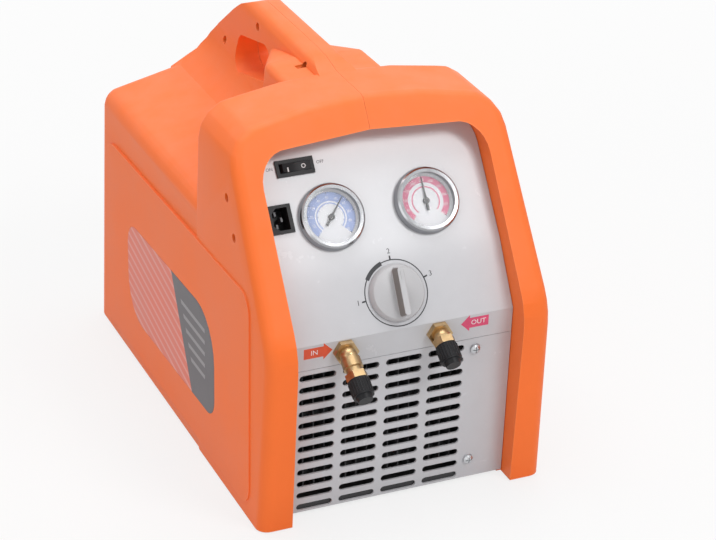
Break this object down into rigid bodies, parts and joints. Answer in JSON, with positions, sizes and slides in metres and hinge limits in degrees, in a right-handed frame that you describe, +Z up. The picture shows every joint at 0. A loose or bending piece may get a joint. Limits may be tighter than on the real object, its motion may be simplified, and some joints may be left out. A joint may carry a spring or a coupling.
{
  "type": "refrigerant recovery machine",
  "caption": "Portable refrigerant recovery machine: orange plastic body with carry handle, tilted panel with pressure gauges, selector knob and rocker switch, capped hose ports, slotted vents.",
  "frame": {"origin": "on the floor, under the middle of the overall box", "axes": "+Z up, -Y the front with the gauges and ports, +X to the right as seen from the front"},
  "size_m": [0.2496, 0.4728, 0.332],
  "materials": {
    "orange_shell": "moulded orange plastic with a fine grain",
    "label_film": "printed film",
    "panel_paint": "light grey powder coat",
    "zinc_steel": "zinc plated",
    "dark_steel": "black painted sheet",
    "black_rubber": "matt rubber",
    "bezel_metal": "polished pressed steel",
    "dial_white": "printed dial",
    "needle_black": "black paint",
    "clear_lens": "clear lens",
    "black_plastic": "moulded black plastic",
    "knob_plastic": "moulded light grey plastic",
    "brass": "turned brass",
    "fin_alloy": "black coated sheet",
    "cast_alloy": "sand cast",
    "copper": "drawn copper tube",
    "motor_paint": "dark grey paint",
    "terminal_plastic": "moulded plastic"
  },
  "bodies": {
    "machine": {"left_shell": "orange_shell", "right_shell": "orange_shell", "left_label": "label_film", "right_label": "label_film", "control_panel": "panel_paint", "vent_panel": "panel_paint", "vent_bracket": "dark_steel", "rear_panel": "panel_paint", "base_plate": "dark_steel", "rubber_feet": "black_rubber", "shell_screws": "zinc_steel", "panel_screws": "zinc_steel", "low_gauge_case": "bezel_metal", "low_gauge_dial": "dial_white", "low_gauge_lens": "clear_lens", "high_gauge_case": "bezel_metal", "high_gauge_dial": "dial_white", "high_gauge_lens": "clear_lens", "switch_frame": "black_plastic", "power_inlet": "black_plastic", "inlet_pins": "zinc_steel", "valve_block": "brass", "inlet_port": "brass", "outlet_port": "brass", "condenser_fins": "fin_alloy", "condenser_plates": "dark_steel", "condenser_tube": "copper", "fan_shroud": "black_plastic", "fan_motor": "zinc_steel", "crankcase": "cast_alloy", "cylinder_barrels": "cast_alloy", "cylinder_heads": "cast_alloy", "drive_motor": "motor_paint", "compressor_mounts": "black_rubber", "start_capacitor": "black_plastic", "terminal_block": "terminal_plastic", "pressure_switch": "zinc_steel", "inlet_line": "copper", "outlet_line": "copper", "suction_line": "copper", "discharge_line": "copper", "return_line": "copper", "low_gauge_line": "copper", "high_gauge_line": "copper"},
    "low_needle": {"low_gauge_needle": "needle_black"},
    "high_needle": {"high_gauge_needle": "needle_black"},
    "rocker": {"switch_rocker": "black_plastic"},
    "knob": {"valve_knob": "knob_plastic"},
    "fan": {"fan_blades": "fin_alloy"},
    "in_cap": {"inlet_cap": "black_plastic"},
    "out_cap": {"outlet_cap": "black_plastic"}
  },
  "joints": [
    {"name": "low_needle_turn", "type": "hinge", "parent": "machine", "child": "low_needle", "pos_m": [-0.0405, -0.14077, 0.24177], "axis": [0, -0.8192, 0.5736], "range_deg": [-95, 175]},
    {"name": "high_needle_turn", "type": "hinge", "parent": "machine", "child": "high_needle", "pos_m": [0.0405, -0.14077, 0.24177], "axis": [0, -0.8192, 0.5736], "range_deg": [-135, 135]},
    {"name": "switch_rock", "type": "hinge", "parent": "machine", "child": "rocker", "pos_m": [-0.061, -0.11389, 0.27666], "axis": [0, 0.5736, 0.8192], "range_deg": [-16, 0]},
    {"name": "knob_turn", "type": "hinge", "parent": "machine", "child": "knob", "pos_m": [0, -0.17706, 0.18493], "axis": [0, -0.8746, 0.4848], "range_deg": [-90, 90]},
    {"name": "fan_spin", "type": "hinge", "parent": "machine", "child": "fan", "pos_m": [-0.0075, -0.13887, 0.071], "axis": [0, 1, 0], "continuous": true},
    {"name": "inlet_cap_pull", "type": "slide", "parent": "machine", "child": "in_cap", "axis": [0, -0.8387, -0.5446], "range_m": [0, 0.02]},
    {"name": "outlet_cap_pull", "type": "slide", "parent": "machine", "child": "out_cap", "axis": [0, -0.8387, -0.5446], "range_m": [0, 0.02]}
  ]
}
